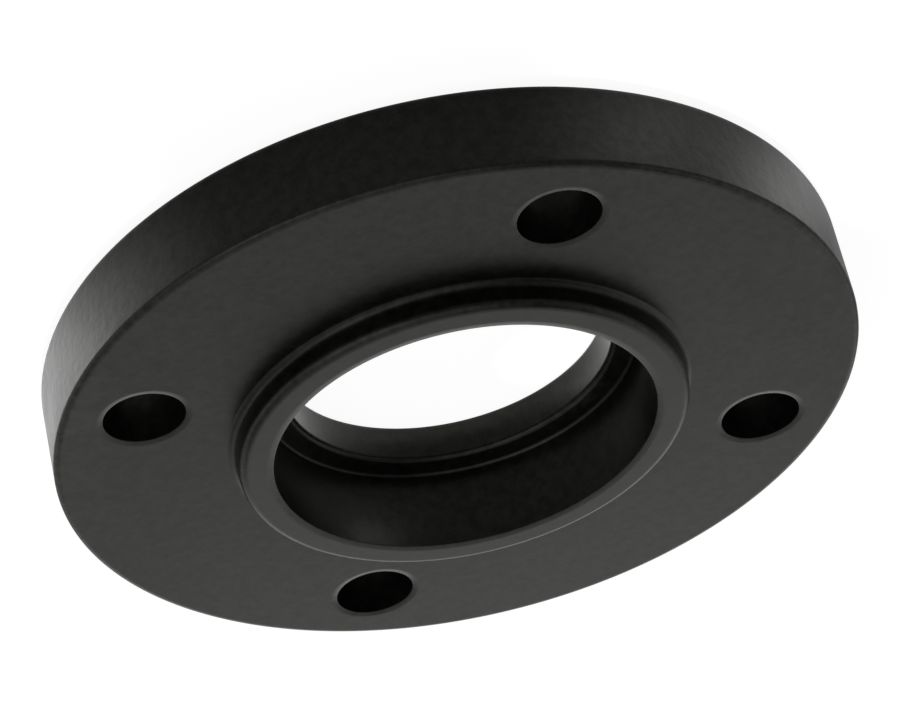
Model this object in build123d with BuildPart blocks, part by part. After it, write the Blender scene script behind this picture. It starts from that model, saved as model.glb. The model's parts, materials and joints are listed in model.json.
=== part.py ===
from build123d import *
import os

# Socket weld pipe flange, one forging turned on a lathe and drilled.
# The origin is at the centre of the gasket face, and +Z runs along the bore towards the hub.
# All sizes are in millimetres.

# Pipe that the flange is welded to
pipe_diameter = 88.9
pipe_wall = 5.5

# Socket that the pipe is pushed into, down to a flat shoulder
socket_clearance = 0.9
socket_depth = 20.75
socket_mouth_bevel = 0.5
socket_root_bevel = 0.6

# Bore that carries the flow, in line with the inside of the pipe
bore_shoulder_bevel = 1.0
bore_outlet_bevel = 0.8

# Low hub round the socket, where the pipe is welded on
hub_wall = 7.95
hub_height = 6.5
hub_edge_radius = 1.8
hub_root_bevel = 1.2

# Raised gasket face on the front of the rim
gasket_face_diameter = 127.0
gasket_face_height = 2.0

# Bolt holes, drilled clear of the gasket face and straddling the centre lines
bolt_hole_count = 4
bolt_hole_diameter = 19.05
bolt_hole_bevel = 0.4
bolt_hole_clearance = 3.175

# Rim, the flat ring that holds the bolts
rim_thickness = 22.35
rim_width_outside_bolts = 19.05
rim_back_edge_radius = 2.0
rim_front_edge_bevel = 1.4

# Radii and heights that follow from the sizes above
bore_radius = pipe_diameter / 2 - pipe_wall
socket_radius = pipe_diameter / 2 + socket_clearance
hub_radius = socket_radius + hub_wall
gasket_face_radius = gasket_face_diameter / 2
bolt_hole_radius = bolt_hole_diameter / 2
bolt_circle_radius = gasket_face_radius + bolt_hole_clearance + bolt_hole_radius
first_bolt_hole_angle = 180 / bolt_hole_count
rim_radius = bolt_circle_radius + rim_width_outside_bolts

rim_back_height = gasket_face_height + rim_thickness
hub_end_height = rim_back_height + hub_height
shoulder_height = hub_end_height - socket_depth

# Half section, corner by corner: distance from the axis and height, then how its edge is eased.
# The raised face's own two corners stay sharp, as they are turned.
section_corners = [
    ((bore_radius, 0), chamfer, bore_outlet_bevel),
    ((gasket_face_radius, 0), None, 0),
    ((gasket_face_radius, gasket_face_height), None, 0),
    ((rim_radius, gasket_face_height), chamfer, rim_front_edge_bevel),
    ((rim_radius, rim_back_height), fillet, rim_back_edge_radius),
    ((hub_radius, rim_back_height), chamfer, hub_root_bevel),
    ((hub_radius, hub_end_height), fillet, hub_edge_radius),
    ((socket_radius, hub_end_height), chamfer, socket_mouth_bevel),
    ((socket_radius, shoulder_height), chamfer, socket_root_bevel),
    ((bore_radius, shoulder_height), chamfer, bore_shoulder_bevel),
]

with BuildPart() as socket_weld_flange:
    # Turned body
    with BuildSketch(Plane.XZ):
        with BuildLine():
            Polyline(*[corner for corner, ease, size in section_corners], close=True)
        make_face()
        for corner, ease, size in section_corners:
            if ease:
                ease(vertices().sort_by_distance(corner)[0], size)
    revolve(axis=Axis.Z)

    # Drilled bolt holes, bevelled on both faces of the rim
    with PolarLocations(bolt_circle_radius, bolt_hole_count, start_angle=first_bolt_hole_angle):
        Hole(bolt_hole_radius)
    chamfer(edges(Select.LAST).filter_by(GeomType.CIRCLE), length=bolt_hole_bevel)

socket_weld_flange.part.label = "socket_weld_flange"

os.makedirs("parts", exist_ok=True)
export_step(socket_weld_flange.part, "parts/socket_weld_flange.step")
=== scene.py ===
"""Studio picture of a socket weld pipe flange in a satin black coat, on a plain pale floor.

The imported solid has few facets, so a finer flange stands for it here. It has the same section, the
same holes and the same place, and its edges are eased as the real one's are. The script gives it
its coat, with the grain, the marks of turning and the worn edges, and adds the floor, the lamps and
the camera. Lengths are in metres unless a name says otherwise.
"""

import json
import logging
import math
from dataclasses import dataclass, field
from typing import Any

import bpy
import numpy as np
from mathutils import Matrix, Vector


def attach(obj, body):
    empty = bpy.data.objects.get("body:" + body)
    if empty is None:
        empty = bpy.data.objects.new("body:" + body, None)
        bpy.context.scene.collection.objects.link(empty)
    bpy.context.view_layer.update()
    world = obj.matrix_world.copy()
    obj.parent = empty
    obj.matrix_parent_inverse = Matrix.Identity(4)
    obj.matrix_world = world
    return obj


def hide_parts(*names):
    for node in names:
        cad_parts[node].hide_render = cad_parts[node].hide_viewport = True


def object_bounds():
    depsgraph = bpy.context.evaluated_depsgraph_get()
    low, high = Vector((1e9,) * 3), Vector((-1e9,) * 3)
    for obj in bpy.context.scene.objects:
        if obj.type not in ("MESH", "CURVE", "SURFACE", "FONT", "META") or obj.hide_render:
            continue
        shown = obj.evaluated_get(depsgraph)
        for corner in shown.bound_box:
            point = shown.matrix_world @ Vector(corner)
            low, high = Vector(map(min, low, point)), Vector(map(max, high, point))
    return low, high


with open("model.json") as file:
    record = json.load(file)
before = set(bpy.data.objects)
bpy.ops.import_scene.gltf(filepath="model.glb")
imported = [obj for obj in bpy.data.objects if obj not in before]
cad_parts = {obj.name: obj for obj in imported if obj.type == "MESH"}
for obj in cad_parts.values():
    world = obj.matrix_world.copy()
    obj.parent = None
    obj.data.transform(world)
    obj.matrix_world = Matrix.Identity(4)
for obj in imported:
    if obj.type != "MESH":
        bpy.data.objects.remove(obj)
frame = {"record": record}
SOLID_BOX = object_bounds()

LOG = logging.getLogger("flange")
MM = 0.001
FULL_TURN = 2 * math.pi

# Points of a skin that lie closer together than this are one point
JOIN_DISTANCE = 0.00001 * MM

# Where Blender's Mix node keeps its share, its two colours and the mixed colour
MIX_INPUTS = (0, 6, 7)
MIX_OUTPUT = 2

Socket = bpy.types.NodeSocket
Colour = tuple[float, float, float]


def direction(azimuth_deg: float, elevation_deg: float) -> Vector:
    """Gives the unit vector that points to an azimuth and an elevation.

    Args:
        azimuth_deg: Angle in the floor's plane, in degrees from +X towards +Y.
        elevation_deg: Angle above the floor's plane, in degrees.

    Returns:
        The unit vector.
    """
    azimuth, elevation = math.radians(azimuth_deg), math.radians(elevation_deg)
    level = math.cos(elevation)
    return Vector((level * math.cos(azimuth), level * math.sin(azimuth), math.sin(elevation)))


class Bench:
    """A node tree with short calls to add nodes and to do sums with them."""

    def __init__(self, tree: bpy.types.NodeTree) -> None:
        """Takes the tree and empties it.

        Args:
            tree: The node tree of a material or a world.
        """
        self.tree = tree
        tree.nodes.clear()

    def add(
        self, kind: str, inputs: dict[str | int, Any] | None = None, **settings: Any
    ) -> bpy.types.Node:
        """Adds one node.

        Args:
            kind: Blender's name for the node's type.
            inputs: Values or other nodes' outputs, by the name or the number of the input.
            **settings: The node's own settings.

        Returns:
            The new node.
        """
        node = self.tree.nodes.new(kind)
        for name, value in settings.items():
            setattr(node, name, value)
        for name, value in (inputs or {}).items():
            self.feed(value, node.inputs[name])
        return node

    def feed(self, value: Any, target: Socket) -> None:
        """Links an output to an input, or sets the input's own value.

        Args:
            value: An output socket, a number or a tuple.
            target: The input.
        """
        if isinstance(value, Socket):
            self.tree.links.new(value, target)
        else:
            target.default_value = value

    def sum(self, operation: str, *values: Any) -> Socket:
        """Does one sum of Blender's Math node.

        Args:
            operation: The node's operation, such as MULTIPLY.
            *values: One to three numbers or outputs.

        Returns:
            The result's socket.
        """
        node = self.add("ShaderNodeMath", operation=operation)
        for value, target in zip(values, node.inputs):
            self.feed(value, target)
        return node.outputs[0]

    def step(
        self, value: Any, low: float, high: float, to_low: float = 0.0, to_high: float = 1.0
    ) -> Socket:
        """Maps a value smoothly from one range to another, and holds it at the ends.

        Args:
            value: The number's socket.
            low: The value that gives to_low.
            high: The value that gives to_high.
            to_low: Result at and below low.
            to_high: Result at and above high.

        Returns:
            The result's socket.
        """
        ends = {"From Min": low, "From Max": high, "To Min": to_low, "To Max": to_high}
        node = self.add(
            "ShaderNodeMapRange",
            {"Value": value, **ends},
            interpolation_type="SMOOTHSTEP",
            clamp=True,
        )
        return node.outputs["Result"]

    def noise(
        self, place: Socket, size: float, detail: float = 2.0, roughness: float = 0.5
    ) -> Socket:
        """Gives noise whose blotches are about a given size across.

        Args:
            place: The point that is looked up, in metres.
            size: How far apart the blotches lie, in metres.
            detail: How many finer layers are added.
            roughness: How strong the finer layers are.

        Returns:
            The noise value's socket, which lies about 0.5.
        """
        node = self.add(
            "ShaderNodeTexNoise",
            {"Vector": place, "Scale": 1.0 / size, "Detail": detail, "Roughness": roughness},
            normalize=True,
        )
        return node.outputs["Fac"]

    def mix_colour(self, share: Any, first: Any, second: Any) -> Socket:
        """Mixes two colours.

        Args:
            share: How much of the second colour is used, from 0 to 1.
            first: The first colour or its socket.
            second: The second colour or its socket.

        Returns:
            The mixed colour's socket.
        """
        node = self.add("ShaderNodeMix", data_type="RGBA")
        for value, number in zip((share, first, second), MIX_INPUTS):
            self.feed((*value, 1.0) if isinstance(value, tuple) else value, node.inputs[number])
        return node.outputs[MIX_OUTPUT]


@dataclass(frozen=True)
class FlangeSizes:
    """Radii and heights of the flange, and the radii of the rounds on its edges.

    Args:
        rim_radius: Radius of the rim's wall.
        rim_back: Height of the rim's back face, which carries the hub.
        hub_end: Height of the hub's end face.
        socket_radius: Radius of the socket's wall.
        bore_radius: Radius of the bore's wall.
        bolt_circle_radius: Radius of the circle of bolt holes.
        bolt_hole_radius: Radius of one bolt hole.
        bolt_holes: Number of bolt holes.
        hub_radius: Radius of the hub's wall.
        shoulder: Height of the shoulder at the socket's root.
        gasket_face_radius: Radius of the raised gasket face.
        gasket_face_height: How far the gasket face stands out from the rim's front.
        rim_edge: Round of the rim's front edge.
        rim_back_edge: How far the rim's back edge is eased along its back face.
        rim_back_edge_rise: How far it is eased down its wall.
        hub_root: Round of the hub's root.
        hub_edge: Round of the hub's outer edge.
        mouth: How far the socket's mouth is eased along its end face.
        mouth_rise: How far it is eased down its wall.
        socket_root: Round at the socket's root.
        shoulder_edge: Round of the shoulder's edge.
        outlet: Round of the bore's edge in the gasket face.
        gasket_edge: Round of the gasket face's edge, and of its root.
        hole_edge: How far a bolt hole's edges are eased along the rim's faces.
        hole_edge_rise: How far they are eased along its wall.
        worked_flat: How flat the easing of the mouth and of the bolt holes is.
    """

    rim_radius: float
    rim_back: float
    hub_end: float
    socket_radius: float
    bore_radius: float
    bolt_circle_radius: float
    bolt_hole_radius: float
    bolt_holes: int
    hub_radius: float = 53.3 * MM
    shoulder: float = 10.1 * MM
    gasket_face_radius: float = 63.5 * MM
    gasket_face_height: float = 2.0 * MM
    rim_edge: float = 2.0 * MM
    rim_back_edge: float = 1.6 * MM
    rim_back_edge_rise: float = 1.3 * MM
    hub_root: float = 1.8 * MM
    hub_edge: float = 2.0 * MM
    mouth: float = 1.7 * MM
    mouth_rise: float = 0.28 * MM
    socket_root: float = 1.0 * MM
    shoulder_edge: float = 1.3 * MM
    outlet: float = 1.2 * MM
    gasket_edge: float = 0.3 * MM
    hole_edge: float = 1.5 * MM
    hole_edge_rise: float = 0.28 * MM
    worked_flat: float = 0.6

    @classmethod
    def from_frame(cls, record: dict[str, Any], box: tuple[Vector, Vector]) -> "FlangeSizes":
        """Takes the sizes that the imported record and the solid's box give.

        Args:
            record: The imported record.
            box: Lowest and highest corner of the solid.

        Returns:
            The sizes, in metres.
        """
        mounts = {mount["name"]: mount for mount in record["mounts"]}
        bolts = mounts["bolt_circle"]["dims"]
        return cls(
            rim_radius=box[1].x,
            rim_back=mounts["nut_face"]["pos_m"][2],
            hub_end=box[1].z,
            socket_radius=mounts["pipe_socket"]["dims"]["r_mm"] * MM,
            bore_radius=mounts["flow_bore"]["dims"]["r_mm"] * MM,
            bolt_circle_radius=bolts["pcd_mm"] / 2 * MM,
            bolt_hole_radius=bolts["hole_r_mm"] * MM,
            bolt_holes=bolts["count"],
        )


@dataclass(frozen=True)
class Corner:
    """A square corner of a section.

    Args:
        radius: Distance from the axis that the section is turned about.
        height: Height above the gasket face.
        ease: How far its round reaches along the radius.
        rise: How far its round reaches up or down, where that isn't the same.
        flat: How flat the round is, from 0, a quarter of an ellipse, to 1, a straight bevel.
        wear: How worn the coat is on it, from 0 to 1.
    """

    radius: float
    height: float
    ease: float = 0.0
    rise: float | None = None
    flat: float = 0.0
    wear: float = 0.0


def eased_outline(
    corners: list[Corner], arc_step: float = 0.2 * MM, fewest: int = 4, rest: float = 0.15 * MM
) -> np.ndarray:
    """Rounds the corners of a section whose straight runs meet at right angles.

    A corner C between the unit directions d, on the way in, and e, on the way out, becomes the arc
    C + R (e - d - e cos t + d sin t), with t from 0 to a right angle. R scales the radius by the
    corner's ease and the height by its rise. The cosine and the sine are raised to the power of
    1 + flat, so that the arc is a quarter of an ellipse, a straight bevel, or between the two. One
    more point a little way off each end of the arc keeps the flat beside it flat where the shading
    is smooth.

    Args:
        corners: The corners in order, with the solid on the left. The first and the last only give
            the way in and the way out.
        arc_step: Distance between the points of an arc, about.
        fewest: Least number of points on an arc.
        rest: How far the point beside an arc lies from its end.

    Returns:
        One row for each point: its radius, its height and its wear.
    """
    rows = []
    for before, corner, after in zip(corners, corners[1:], corners[2:]):
        place = np.array((corner.radius, corner.height))
        way_in = np.sign(place - (before.radius, before.height))
        way_out = np.sign((after.radius, after.height) - place)
        reach = np.array((corner.ease, corner.ease if corner.rise is None else corner.rise))
        turn = np.linspace(0.0, math.pi / 2, max(fewest, round(corner.ease / arc_step)))[:, None]
        cosine = np.abs(np.cos(turn)) ** (1 + corner.flat)
        sine = np.sin(turn) ** (1 + corner.flat)
        arc = place + reach * (way_out - way_in - way_out * cosine + way_in * sine)
        points = np.vstack((arc[0] - rest * way_in, arc, arc[-1] + rest * way_out))
        wear = np.concatenate(((0.0,), corner.wear * np.sin(2 * turn[:, 0]), (0.0,)))
        rows.append(np.column_stack((points, wear)))
    return np.vstack(rows)


class Skin:
    """A closed surface put together from bands of points.

    Each band is an array of rings by points round the ring by four values: x, y, z and wear. A ring
    closes on itself, and where two bands meet, their points are the same and are joined.
    """

    def __init__(self) -> None:
        """Starts with no band."""
        self.bands: list[np.ndarray] = []

    def turn(self, outline: np.ndarray, segments: int) -> None:
        """Adds the band that an outline makes when it turns about the Z axis.

        A row (r, h) of the outline gives the ring (r cos a, r sin a, h), with the angle a from 0 to
        a full turn.

        Args:
            outline: One row for each ring: its radius, height and wear.
            segments: Number of points round a ring.
        """
        angle = np.linspace(0.0, FULL_TURN, segments, endpoint=False)
        radius, height, wear = (outline[:, column, None] for column in range(3))
        level = np.ones_like(angle)
        columns = (radius * np.cos(angle), radius * np.sin(angle), height * level, wear * level)
        self.bands.append(np.stack(columns, axis=2))

    def mesh(self, name: str) -> bpy.types.Mesh:
        """Joins the bands into one mesh whose faces look outwards.

        Args:
            name: The mesh's name.

        Returns:
            The mesh, smooth, with its wear in the attribute edge_wear.
        """
        faces, start = [], 0
        for band in self.bands:
            rings, around = band.shape[:2]
            number = start + np.arange(rings * around).reshape(rings, around)
            ahead = np.roll(number, -1, axis=1)
            quads = np.stack((number[:-1], ahead[:-1], ahead[1:], number[1:]), axis=2)
            faces.append(quads.reshape(-1, 4))
            start += rings * around
        points = np.concatenate([band.reshape(-1, 4) for band in self.bands])
        near = np.round(points[:, :3] / JOIN_DISTANCE).astype(np.int64)
        _, kept, joined = np.unique(near, axis=0, return_index=True, return_inverse=True)
        quads = joined.ravel()[np.concatenate(faces)]
        mesh = bpy.data.meshes.new(name)
        mesh.from_pydata(points[kept, :3].tolist(), [], quads.tolist())
        mesh.shade_smooth()
        wear = mesh.attributes.new("edge_wear", "FLOAT", "POINT")
        wear.data.foreach_set("value", points[kept, 3].astype(np.float32))
        return mesh


@dataclass(frozen=True)
class SatinBlackCoat:
    """Thin black coat on turned steel: smooth in the hand, finely grained, a little glossy.

    Args:
        colour: Colour of the coat.
        colour_grain: Colour of the raised grain.
        colour_worn: Colour where edges have been rubbed.
        colour_end: Lighter colour of the hub's end face.
        end_skin: How far below the end face its colour begins.
        gloss_colour: Colour of its reflection where it is seen straight on.
        gloss_colour_dull: The same in the dull spots between the grains.
        gloss: Strength of its reflection, on the scale of the shader's specular level.
        refraction: Its index of refraction.
        roughness: Spread of its reflection.
        uneven: How much the spread changes from place to place.
        uneven_range: Noise values at which the spread is narrowest and widest.
        polish: How much narrower the spread is where edges have been rubbed.
        blotch: Distance between the places where the spread changes.
        rub: Distance between the places where edges have been rubbed.
        rub_range: Noise values at which the rubbing begins and is whole.
        fine_layers: How many finer layers each of its noises has.
        grain: Size of its grain, which has finer grain on it.
        grain_depth: Height of its grain on the turned faces, in millimetres.
        grain_on_rim: How many times higher it is on the rim's wall.
        speckle_range: Noise values at which the bright spots begin and are whole.
        speckle_sharp: How strong the finer layers of the spots are.
        mark_pitch: Distance between the marks that the turning tool left.
        mark_depth: Height of those marks, in millimetres.
        groove_pitch: Distance between the grooves of the gasket face.
        groove_depth: Depth of those grooves, in millimetres.
        groove_margin: Width of the plain band at both edges of the gasket face.
        groove_fade: Share of the gasket face's edge at which the grooves begin to fade.
    """

    colour: Colour = (0.0002, 0.0002, 0.0002)
    colour_grain: Colour = (0.0040, 0.0040, 0.0037)
    colour_worn: Colour = (0.0075, 0.0075, 0.0070)
    colour_end: Colour = (0.0110, 0.0110, 0.0102)
    end_skin: float = 0.3 * MM
    gloss_colour: Colour = (1.0, 1.0, 0.89)
    gloss_colour_dull: Colour = (0.74, 0.74, 0.66)
    gloss: float = 0.222
    refraction: float = 1.5
    roughness: float = 0.30
    uneven: float = 0.05
    uneven_range: tuple[float, float] = (0.3, 0.7)
    polish: float = 0.04
    blotch: float = 14 * MM
    rub: float = 1.5 * MM
    rub_range: tuple[float, float] = (0.35, 0.65)
    fine_layers: float = 3.0
    grain: float = 2.6 * MM
    grain_depth: float = 0.026
    grain_on_rim: float = 4.0
    speckle_range: tuple[float, float] = (0.25, 0.75)
    speckle_sharp: float = 0.75
    mark_pitch: float = 0.7 * MM
    mark_depth: float = 0.003
    groove_pitch: float = 0.8 * MM
    groove_depth: float = 0.03
    groove_margin: float = 1.2 * MM
    groove_fade: float = 0.2

    def grooves(self, bench: Bench, radius: Socket, height: Socket, sizes: FlangeSizes) -> Socket:
        """Gives the depth of the gasket face's round grooves, in millimetres.

        It is a cosine of the radius, with one groove to each pitch.

        Args:
            bench: The material's nodes.
            radius: Distance from the flange's axis.
            height: Height above the gasket face.
            sizes: The flange's radii and heights.

        Returns:
            The depth's socket, which is 0 off the gasket face.
        """
        wave = bench.sum("COSINE", bench.sum("MULTIPLY", radius, FULL_TURN / self.groove_pitch))
        inner = sizes.bore_radius + self.groove_margin
        outer = sizes.gasket_face_radius - self.groove_margin
        fade = self.groove_fade * sizes.gasket_edge
        on_face = bench.step(height, fade, sizes.gasket_edge, self.groove_depth / 2, 0.0)
        past_inner = bench.step(radius, inner, inner + self.groove_pitch)
        within_outer = bench.step(radius, outer, outer + self.groove_pitch, 1.0, 0.0)
        on_face = bench.sum("MULTIPLY", bench.sum("MULTIPLY", on_face, past_inner), within_outer)
        return bench.sum("MULTIPLY", wave, on_face)

    def material(self, name: str, sizes: FlangeSizes) -> bpy.types.Material:
        """Makes the coat's material.

        The tool's marks are noise of the radius and the height alone, so that they run round the
        axis, over the faces as well as on the walls. The spots of colour and gloss are the grain's
        own noise with its finer layers stronger.

        Args:
            name: The material's name.
            sizes: The flange's radii and heights.

        Returns:
            The material.
        """
        made = bpy.data.materials.new(name)
        made.use_nodes = True
        bench = Bench(made.node_tree)
        place = bench.add("ShaderNodeTexCoord").outputs["Object"]
        axes = bench.add("ShaderNodeSeparateXYZ", {"Vector": place})
        x, y, z = (axes.outputs[axis] for axis in "XYZ")
        squares = bench.sum("MULTIPLY_ADD", x, x, bench.sum("MULTIPLY", y, y))
        radius = bench.sum("SQRT", squares)
        lathe = bench.add("ShaderNodeCombineXYZ", {"X": radius, "Y": z}).outputs["Vector"]

        grain = bench.noise(place, self.grain, self.fine_layers)
        speckles = bench.noise(place, self.grain, self.fine_layers, self.speckle_sharp)
        speckles = bench.step(speckles, *self.speckle_range)
        by_wall = bench.step(radius, sizes.rim_radius - sizes.rim_back_edge, sizes.rim_radius)
        more_depth = self.grain_depth * (self.grain_on_rim - 1)
        depth = bench.sum("MULTIPLY_ADD", by_wall, more_depth, self.grain_depth)
        marks = bench.noise(lathe, self.mark_pitch)
        edge = bench.add("ShaderNodeAttribute", attribute_name="edge_wear").outputs["Fac"]
        rubbed = bench.step(bench.noise(place, self.rub, self.fine_layers), *self.rub_range)
        worn = bench.sum("MULTIPLY", edge, rubbed)

        fresh = bench.mix_colour(speckles, self.colour, self.colour_grain)
        on_end = bench.step(z, sizes.hub_end - self.end_skin, sizes.hub_end)
        fresh = bench.mix_colour(on_end, fresh, self.colour_end)
        colour = bench.mix_colour(worn, fresh, self.colour_worn)
        blotches = bench.noise(place, self.blotch, self.fine_layers)
        spread = bench.step(blotches, *self.uneven_range, -self.uneven / 2, self.uneven / 2)
        spread = bench.sum("ADD", spread, self.roughness)
        spread = bench.sum("SUBTRACT", spread, bench.sum("MULTIPLY", worn, self.polish))

        height = bench.sum("MULTIPLY_ADD", grain, depth, self.grooves(bench, radius, z, sizes))
        height = bench.sum("MULTIPLY_ADD", marks, self.mark_depth, height)
        relief = bench.add("ShaderNodeBump", {"Strength": 1.0, "Distance": MM, "Height": height})
        tint = bench.mix_colour(speckles, self.gloss_colour_dull, self.gloss_colour)
        shader = bench.add(
            "ShaderNodeBsdfPrincipled",
            {
                "Base Color": colour,
                "Roughness": spread,
                "IOR": self.refraction,
                "Specular IOR Level": self.gloss,
                "Specular Tint": tint,
                "Normal": relief.outputs["Normal"],
            },
        )
        bench.add("ShaderNodeOutputMaterial", {"Surface": shader.outputs["BSDF"]})
        return made


@dataclass(frozen=True)
class PaleFloorPaint:
    """Matt pale paint of the floor, which shows nearly white and keeps a faint shadow.

    Seen from below, the floor is clear, so that the gasket face can be looked at. In reflections,
    the floor in the bore and under the bolt holes, which lies in shade, glows brighter: a painted
    reflection on the walls of the bore and of the holes.

    Args:
        colour: Colour of the paint.
        glow: Strength of the even white that is seen directly and in reflections.
        seen_share: How much of that even white is seen directly.
        mirrored_share: How much of it is seen in reflections.
        bore_painted_glow: Painted glow: how much of that even white the shaded floor in the bore
            shows
        in reflections close to the bore's wall.
        bore_from: Radius at which that begins.
        bore_full: Radius at which it is whole.
        bore_near: How far off the bore's wall still mirrors it.
        bore_far: How far off the socket's wall no longer does.
        hole_painted_glow: Painted glow: how much of that even white the shaded floor under the bolt
        holes shows in reflections.
    """

    colour: Colour = (0.60, 0.60, 0.60)
    glow: float = 1.14
    seen_share: float = 0.81
    mirrored_share: float = 0.05
    bore_painted_glow: float = 1.0
    bore_from: float = 30.0 * MM
    bore_full: float = 34.5 * MM
    bore_near: float = 18.0 * MM
    bore_far: float = 27.0 * MM
    hole_painted_glow: float = 0.35

    def material(self, name: str, sizes: FlangeSizes) -> bpy.types.Material:
        """Makes the paint's material.

        Args:
            name: The material's name.
            sizes: Radii of the flange that stands over the floor.

        Returns:
            The material.
        """
        made = bpy.data.materials.new(name)
        made.use_nodes = True
        bench = Bench(made.node_tree)
        rays = bench.add("ShaderNodeLightPath").outputs
        mirrored = bench.sum("MAXIMUM", rays["Is Glossy Ray"], rays["Is Transmission Ray"])
        place = bench.add("ShaderNodeTexCoord").outputs["Object"]
        radius = bench.add("ShaderNodeVectorMath", {0: place}, operation="LENGTH").outputs["Value"]
        # Painted reflection: the shaded floor in the bore glows for rays mirrored by the bore's
        # wall.
        extra = self.bore_painted_glow - self.mirrored_share
        by_wall = bench.step(radius, self.bore_from, self.bore_full, 0.0, extra)
        by_wall = bench.sum("MULTIPLY", by_wall, bench.sum("LESS_THAN", radius, sizes.bore_radius))
        close = bench.step(rays["Ray Length"], self.bore_near, self.bore_far, 1.0, 0.0)
        by_wall = bench.sum("MULTIPLY", by_wall, close)
        # Painted reflection: the shaded floor under the bolt holes glows for mirrored rays.
        off_circle = bench.sum("ABSOLUTE", bench.sum("SUBTRACT", radius, sizes.bolt_circle_radius))
        by_hole = bench.sum("LESS_THAN", off_circle, sizes.bolt_hole_radius)
        by_hole = bench.sum("MULTIPLY", by_hole, self.hole_painted_glow - self.mirrored_share)
        share = bench.sum("ADD", bench.sum("ADD", by_wall, by_hole), self.mirrored_share)
        share = bench.sum("MULTIPLY", mirrored, share)
        share = bench.sum("MULTIPLY_ADD", rays["Is Camera Ray"], self.seen_share, share)
        paint = bench.add("ShaderNodeBsdfDiffuse", {"Color": (*self.colour, 1.0)})
        glow = bench.add("ShaderNodeEmission", {"Strength": self.glow})
        both = bench.add("ShaderNodeMixShader", {"Fac": share})
        bench.feed(paint.outputs[0], both.inputs[1])
        bench.feed(glow.outputs[0], both.inputs[2])
        clear = bench.add("ShaderNodeBsdfTransparent")
        underside = bench.add("ShaderNodeNewGeometry").outputs["Backfacing"]
        whole = bench.add("ShaderNodeMixShader", {"Fac": underside})
        bench.feed(both.outputs[0], whole.inputs[1])
        bench.feed(clear.outputs[0], whole.inputs[2])
        bench.add("ShaderNodeOutputMaterial", {"Surface": whole.outputs[0]})
        return made


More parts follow.
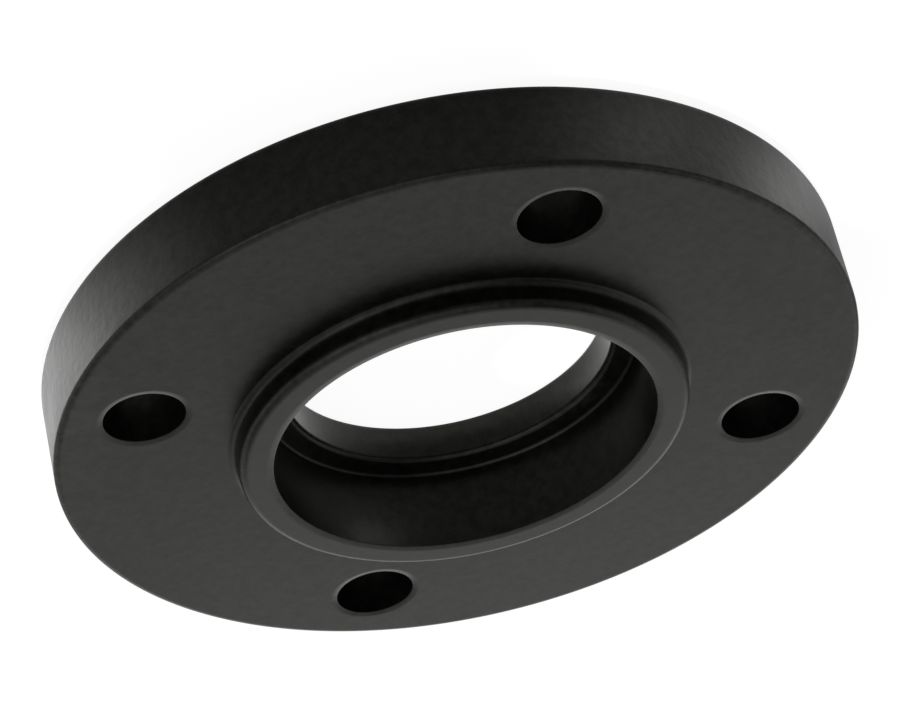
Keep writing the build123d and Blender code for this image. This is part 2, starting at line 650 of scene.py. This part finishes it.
@dataclass
class Flange:
    """The flange: a turned body with a ring of bolt holes.

    Args:
        sizes: Its radii and heights.
        coat: Its finish.
        node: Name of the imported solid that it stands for.
        segments: Points round the axis, a multiple of twice the number of holes.
        side_steps: Points along each side of the rim's share round a hole.
        spread: Where the rings between a hole and the edge of its share lie, from 0 to 1.
    """

    sizes: FlangeSizes
    coat: SatinBlackCoat = field(default_factory=SatinBlackCoat)
    node: str = "socket_weld_flange"
    segments: int = 480
    side_steps: int = 20
    spread: tuple[float, ...] = (1.0, 0.65, 0.35, 0.12)

    def rim_outline(self) -> np.ndarray:
        """Gives the section round the rim's wall, from its front edge to its back edge."""
        size = self.sizes
        inside = size.bolt_circle_radius
        return eased_outline(
            [
                Corner(inside, size.gasket_face_height),
                Corner(size.rim_radius, size.gasket_face_height, size.rim_edge, wear=1.0),
                Corner(
                    size.rim_radius,
                    size.rim_back,
                    size.rim_back_edge,
                    size.rim_back_edge_rise,
                    wear=1.0,
                ),
                Corner(inside, size.rim_back),
            ]
        )

    def hub_outline(self) -> np.ndarray:
        """Gives the section over the hub, down the socket and bore, and over the gasket face."""
        size = self.sizes
        outside = size.bolt_circle_radius
        mouth = (size.mouth, size.mouth_rise, size.worked_flat)
        return eased_outline(
            [
                Corner(outside, size.rim_back),
                Corner(size.hub_radius, size.rim_back, size.hub_root),
                Corner(size.hub_radius, size.hub_end, size.hub_edge, wear=1.0),
                Corner(size.socket_radius, size.hub_end, *mouth, wear=1.0),
                Corner(size.socket_radius, size.shoulder, size.socket_root),
                Corner(size.bore_radius, size.shoulder, size.shoulder_edge),
                Corner(size.bore_radius, 0.0, size.outlet, wear=0.6),
                Corner(size.gasket_face_radius, 0.0, size.gasket_edge, wear=1.0),
                Corner(size.gasket_face_radius, size.gasket_face_height, size.gasket_edge),
                Corner(outside, size.gasket_face_height),
            ]
        )

    def hole_outline(self) -> np.ndarray:
        """Gives the section of a bolt hole about its own axis, from the rim's back to its front."""
        size = self.sizes
        outside, wall = size.bolt_circle_radius, size.bolt_hole_radius
        easing = (size.hole_edge, size.hole_edge_rise, size.worked_flat)
        return eased_outline(
            [
                Corner(outside, size.rim_back),
                Corner(wall, size.rim_back, *easing, wear=0.8),
                Corner(wall, size.gasket_face_height, *easing, wear=0.8),
                Corner(outside, size.gasket_face_height),
            ]
        )

    def share_edge(self, inner: float, outer: float) -> tuple[np.ndarray, np.ndarray]:
        """Gives the edge of one hole's share of the rim, which is a piece of ring.

        The edge starts and ends in the middle of the outer arc.

        Args:
            inner: Radius of its inner arc.
            outer: Radius of its outer arc.

        Returns:
            The angle from the hole's own, and the radius, of each point round the edge.
        """
        half = math.pi / self.sizes.bolt_holes
        steps = self.segments // (2 * self.sizes.bolt_holes)
        middle = (0.0, outer)
        corners = (middle, (half, outer), (half, inner), (-half, inner), (-half, outer), middle)
        counts = (steps, self.side_steps, 2 * steps, self.side_steps, steps)
        sides = [
            np.linspace(first, second, count, endpoint=False)
            for first, second, count in zip(corners, corners[1:], counts)
        ]
        edge = np.vstack(sides)
        return edge[:, 0], edge[:, 1]

    def bolt_band(
        self, azimuth: float, back: tuple[float, float], front: tuple[float, float]
    ) -> np.ndarray:
        """Makes the band over the rim's back to a bolt hole, through it, and out over the front.

        A ring of the hole is a circle of points, taken as angle and radius about the flange's axis.
        On a face, the ring at share s lies at (1 - s) circle + s edge in those two numbers, where
        edge is the edge of the hole's share of the face, so that neighbouring shares meet.

        Args:
            azimuth: The hole's angle.
            back: Inner and outer radius of the rim's flat back.
            front: Inner and outer radius of the rim's flat front.

        Returns:
            Rings by points by four: x, y, z and wear.
        """
        outline = self.hole_outline()
        shares = np.array(self.spread)[:, None]
        points = 2 * self.segments // self.sizes.bolt_holes + 2 * self.side_steps
        turn = np.linspace(0.0, FULL_TURN, points, endpoint=False)
        rings = []
        for limits, row, ends in ((back, outline[0], shares), (front, outline[-1], shares[::-1])):
            edge_angle, edge_radius = self.share_edge(*limits)
            across = self.sizes.bolt_circle_radius + row[0] * np.cos(turn)
            along = row[0] * np.sin(turn)
            angle = (1 - ends) * np.arctan2(along, across) + ends * edge_angle
            radius = (1 - ends) * np.hypot(along, across) + ends * edge_radius
            height, wear = np.full_like(angle, row[1]), np.zeros_like(angle)
            rings.append(np.stack((angle, radius, height, wear), axis=2))
        across = self.sizes.bolt_circle_radius + outline[:, 0, None] * np.cos(turn)
        along = outline[:, 0, None] * np.sin(turn)
        height, wear = (outline[:, column, None] * np.ones_like(turn) for column in (1, 2))
        wall = np.stack((np.arctan2(along, across), np.hypot(along, across), height, wear), axis=2)
        band = np.concatenate((rings[0], wall, rings[1]))
        angle, radius = band[:, :, 0] + azimuth, band[:, :, 1]
        x, y = radius * np.cos(angle), radius * np.sin(angle)
        return np.stack((x, y, band[:, :, 2], band[:, :, 3]), axis=2)

    def build(self) -> bpy.types.Object:
        """Makes the flange, gives it its coat and puts it in the solid's place.

        The bolt holes straddle the X and Y axes.

        Returns:
            The flange's object.
        """
        rim, hub = self.rim_outline(), self.hub_outline()
        skin = Skin()
        skin.turn(rim, self.segments)
        skin.turn(hub, self.segments)
        back, front = (hub[0, 0], rim[-1, 0]), (hub[-1, 0], rim[0, 0])
        for hole in range(self.sizes.bolt_holes):
            azimuth = (hole + 0.5) * FULL_TURN / self.sizes.bolt_holes
            skin.bands.append(self.bolt_band(azimuth, back, front))
        mesh = skin.mesh("fine_flange")
        mesh.materials.append(self.coat.material("satin_black_coat", self.sizes))
        flange = bpy.data.objects.new("fine_flange", mesh)
        bpy.context.scene.collection.objects.link(flange)
        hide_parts(self.node)
        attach(flange, "root")
        LOG.info("flange made, %d faces", len(mesh.polygons))
        return flange


@dataclass(frozen=True)
class SkyPatch:
    """A soft round patch of light, far away in the air.

    Args:
        azimuth: Where its middle lies, in degrees from +X towards +Y.
        elevation: How high its middle lies, in degrees above the floor.
        spread: Angle from its middle to its edge, in degrees.
        brightness: Brightness of its middle, where 1 is white.
    """

    azimuth: float
    elevation: float
    spread: float
    brightness: float


@dataclass
class Studio:
    """The floor and the soft light in the air round it.

    The patches stand on a given grid. Their brightness isn't a choice: a program fitted it to the
    photograph by least squares, and eleven of the sixteen are as it gave them, rounded. The other
    five were changed after it.

    Args:
        sizes: Radii of the flange that stands on the floor.
        floor_radius: Radius of the round floor.
        floor_reach: How far the floor reaches under the gasket face, whose middle it leaves free.
        edge_points: Points round each of the floor's edges.
        white: Brightness of the air where it is seen directly.
        mirrored_above: How much of that white is seen in reflections, above the floor's level.
        mirrored_below: How much of it is seen in reflections, below that level.
        level_change: How far below that level the one becomes the other, as the sine of the angle.
        paint: The floor's finish.
        patches: The soft patches of light.
    """

    sizes: FlangeSizes
    floor_radius: float = 3.0
    floor_reach: float = 1.6 * MM
    edge_points: int = 96
    white: float = 1.0
    mirrored_above: float = 0.03
    mirrored_below: float = 0.6
    level_change: float = 0.1
    paint: PaleFloorPaint = field(default_factory=PaleFloorPaint)
    patches: tuple[SkyPatch, ...] = (
        SkyPatch(69.0, 4.0, 34.0, 1.14),
        SkyPatch(114.0, 4.0, 34.0, 0.53),
        SkyPatch(159.0, 4.0, 34.0, 1.80),
        SkyPatch(249.0, 4.0, 34.0, 0.37),
        SkyPatch(294.0, 4.0, 34.0, 0.25),
        SkyPatch(-21.0, 30.0, 32.0, 0.45),
        SkyPatch(24.0, 30.0, 32.0, 1.74),
        SkyPatch(114.0, 30.0, 32.0, 0.27),
        SkyPatch(159.0, 30.0, 32.0, 0.10),
        SkyPatch(204.0, 30.0, 32.0, 1.00),
        SkyPatch(249.0, 30.0, 32.0, 0.67),
        SkyPatch(294.0, 30.0, 32.0, 0.18),
        SkyPatch(-21.0, 58.0, 34.0, 0.95),
        SkyPatch(69.0, 58.0, 34.0, 0.80),
        SkyPatch(159.0, 58.0, 34.0, 0.91),
        SkyPatch(0.0, 90.0, 32.0, 0.30),
    )

    def build_floor(self) -> bpy.types.Object:
        """Makes the floor, a disc in the bore and a ring round the gasket face.

        The points lie on three circles, radius times the cosine and the sine of the angle.

        Returns:
            The floor's object.
        """
        inner = self.sizes.bore_radius + self.floor_reach
        outer = self.sizes.gasket_face_radius - self.floor_reach
        radii = np.array((inner, outer, self.floor_radius))[:, None]
        angles = np.linspace(0.0, FULL_TURN, self.edge_points, endpoint=False)
        level = np.full((len(radii), len(angles)), SOLID_BOX[0].z)
        points = np.stack((radii * np.cos(angles), radii * np.sin(angles), level), axis=2)
        points = points.reshape(-1, 3)
        number = np.arange(len(points)).reshape(level.shape)
        ahead = np.roll(number, -1, axis=1)
        ring = np.stack((number[1], number[2], ahead[2], ahead[1]), axis=1)
        mesh = bpy.data.meshes.new("pale_floor")
        mesh.from_pydata(points.tolist(), [], [number[0].tolist(), *ring.tolist()])
        mesh.materials.append(self.paint.material("pale_floor_paint", self.sizes))
        floor = bpy.data.objects.new("pale_floor", mesh)
        bpy.context.scene.collection.objects.link(floor)
        return floor

    def build_air(self) -> None:
        """Makes the world.

        Each patch adds its brightness, eased from its middle to nothing at its edge. Seen directly,
        the air is an even white, and reflections show some of that white too.
        """
        world = bpy.data.worlds.new("studio_air")
        world.use_nodes = True
        bpy.context.scene.world = world
        bench = Bench(world.node_tree)
        way = bench.add("ShaderNodeTexCoord").outputs["Generated"]
        light: Any = 0.0
        for patch in self.patches:
            middle = direction(patch.azimuth, patch.elevation)
            near = bench.add("ShaderNodeVectorMath", {0: way, 1: middle}, operation="DOT_PRODUCT")
            edge = math.cos(math.radians(patch.spread))
            added = bench.step(near.outputs["Value"], edge, 1.0, 0.0, patch.brightness)
            light = bench.sum("ADD", light, added)

        rays = bench.add("ShaderNodeLightPath").outputs
        height = bench.add("ShaderNodeSeparateXYZ", {"Vector": way}).outputs["Z"]
        below, above = self.white * self.mirrored_below, self.white * self.mirrored_above
        white = bench.step(height, -self.level_change, 0.0, below, above)
        mirrored = bench.sum("MAXIMUM", rays["Is Glossy Ray"], rays["Is Transmission Ray"])
        light = bench.sum("MULTIPLY_ADD", mirrored, white, light)
        unseen = bench.sum("SUBTRACT", 1.0, rays["Is Camera Ray"])
        seen = bench.sum("MULTIPLY", rays["Is Camera Ray"], self.white)
        strength = bench.sum("MULTIPLY_ADD", light, unseen, seen)
        plain_white = (1.0, 1.0, 1.0, 1.0)
        air = bench.add("ShaderNodeBackground", {"Color": plain_white, "Strength": strength})
        bench.add("ShaderNodeOutputWorld", {"Surface": air.outputs[0]})

    def build(self) -> None:
        """Makes the floor and the air."""
        self.build_floor()
        self.build_air()
        LOG.info("floor and air made")


@dataclass(frozen=True)
class FloorLamp:
    """A small soft lamp straight above the floor, which lights a round of it.

    The walls of the flange mirror that round. Right and left in a lamp's name are as seen by
    someone who stands upright at the camera. The brightness of the right and left lamps began as
    the same fit's as the patches', and was changed later. The bore's lamp was set apart from the
    fit.

    Args:
        name: The lamp's name.
        radius: How far from the flange's axis it hangs.
        azimuth: Where it hangs, in degrees from +X towards +Y.
        brightness: Brightness of the floor in the middle of its light, where 1 is white.
        width: Radius of its light on the floor.
        height: How high it hangs.
        bulb: Radius of its bulb.
        floor_share: How much light the floor gives back.
    """

    name: str
    radius: float
    azimuth: float
    brightness: float
    width: float = 33 * MM
    height: float = 0.6
    bulb: float = 20 * MM
    floor_share: float = 0.60

    def build(self) -> None:
        """Makes the lamp.

        A power of 4 pi squared times its height squared sends one white to the floor's middle, of
        which the floor gives back its share.
        """
        lamp = bpy.data.lights.new(self.name, "SPOT")
        lamp.spot_size = 2 * math.atan(self.width / self.height)
        lamp.spot_blend = 1.0
        lamp.shadow_soft_size = self.bulb
        lamp.energy = 4 * math.pi * math.pi * self.height**2 * self.brightness / self.floor_share
        made = bpy.data.objects.new(self.name, lamp)
        made.location = direction(self.azimuth, 0.0) * self.radius + Vector((0.0, 0.0, self.height))
        bpy.context.scene.collection.objects.link(made)
        LOG.info("%s made", self.name)


@dataclass
class PhotoCamera:
    """The camera, at the photograph's place, as fitted to the flange's outlines there.

    Args:
        aim: The point that it looks at.
        azimuth: Where it stands, in degrees from +X towards +Y.
        elevation: How high it stands, in degrees above the floor.
        distance: How far it stands from the aim.
        roll: How far it is turned about its own line of sight, in degrees.
        lens_mm: Its focal length.
        sensor_mm: Width of its sensor.
        nearest: How near it sees.
        farthest: How far it sees.
    """

    aim: tuple[float, float, float] = (5.53 * MM, -2.70 * MM, 12.0 * MM)
    azimuth: float = -21.0
    elevation: float = 33.134
    distance: float = 0.89684
    roll: float = 166.453
    lens_mm: float = 153.99
    sensor_mm: float = 36.0
    nearest: float = 0.01
    farthest: float = 50.0

    def build(self) -> None:
        """Makes the scene's camera, with its right side turned by the roll from level."""
        back = direction(self.azimuth, self.elevation)
        level = Vector((0.0, 0.0, 1.0)).cross(back).normalized()
        upright = back.cross(level)
        roll = math.radians(self.roll)
        right = level * math.cos(roll) + upright * math.sin(roll)
        up = back.cross(right)
        place = Vector(self.aim) + back * self.distance
        data = bpy.data.cameras.new("photo_camera")
        data.lens = self.lens_mm
        data.sensor_width = self.sensor_mm
        data.clip_start, data.clip_end = self.nearest, self.farthest
        made = bpy.data.objects.new("photo_camera", data)
        made.matrix_world = Matrix(
            (
                (right.x, up.x, back.x, place.x),
                (right.y, up.y, back.y, place.y),
                (right.z, up.z, back.z, place.z),
                (0.0, 0.0, 0.0, 1.0),
            )
        )
        bpy.context.scene.collection.objects.link(made)
        bpy.context.scene.camera = made
        LOG.info("camera made")


def main() -> None:
    """Builds the picture piece by piece."""
    logging.basicConfig(level=logging.INFO, format="%(message)s")
    scene = bpy.context.scene
    scene.view_settings.view_transform = "Standard"
    PhotoCamera().build()
    sizes = FlangeSizes.from_frame(frame["record"], SOLID_BOX)
    Flange(sizes).build()
    Studio(sizes).build()
    FloorLamp("right_lamp_near", 118 * MM, 29.0, 1.05).build()
    FloorLamp("right_lamp_middle", 116 * MM, 48.0, 2.30).build()
    FloorLamp("right_lamp_far", 114 * MM, 68.0, 1.20, 30 * MM).build()
    FloorLamp("left_lamp_near", 118 * MM, -60.0, 1.05).build()
    FloorLamp("left_lamp_far", 116 * MM, -90.0, 1.08).build()
    FloorLamp("bore_lamp", 31 * MM, 208.0, 3.60, 11 * MM, bulb=4 * MM).build()


if __name__ == "__main__":
    main()
